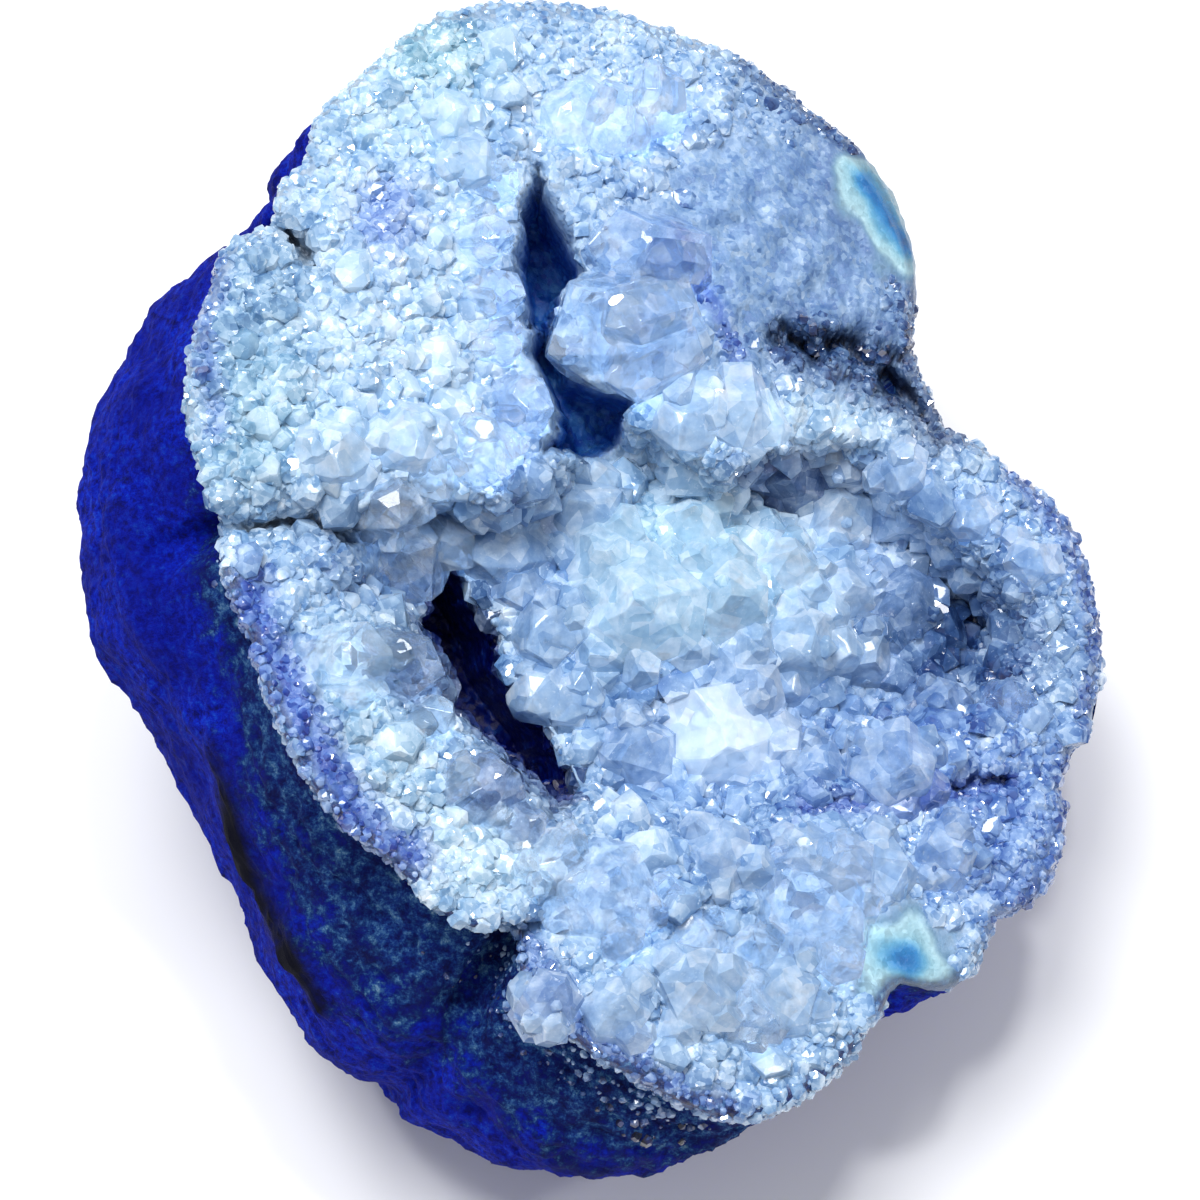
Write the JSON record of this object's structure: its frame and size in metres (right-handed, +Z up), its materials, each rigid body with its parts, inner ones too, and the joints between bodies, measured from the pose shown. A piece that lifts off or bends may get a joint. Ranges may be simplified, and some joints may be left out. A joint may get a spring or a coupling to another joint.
{
  "type": "agate geode half",
  "caption": "Half of an agate geode, dyed blue: a lumpy stone shell broken open on a deep hollow lined with pale quartz points",
  "frame": {"origin": "under the middle of the bounding box, on the plane that the flat spot rests on", "axes": "+Z up, +X to the right and +Y away as the broken face is looked at from the front and above"},
  "size_m": [0.0781, 0.0858, 0.0539],
  "materials": {
    "dyed_agate": "rough",
    "quartz": "gloss"
  },
  "bodies": {
    "root": {"shell": "dyed_agate", "crystal_crust": "quartz"}
  },
  "joints": []
}
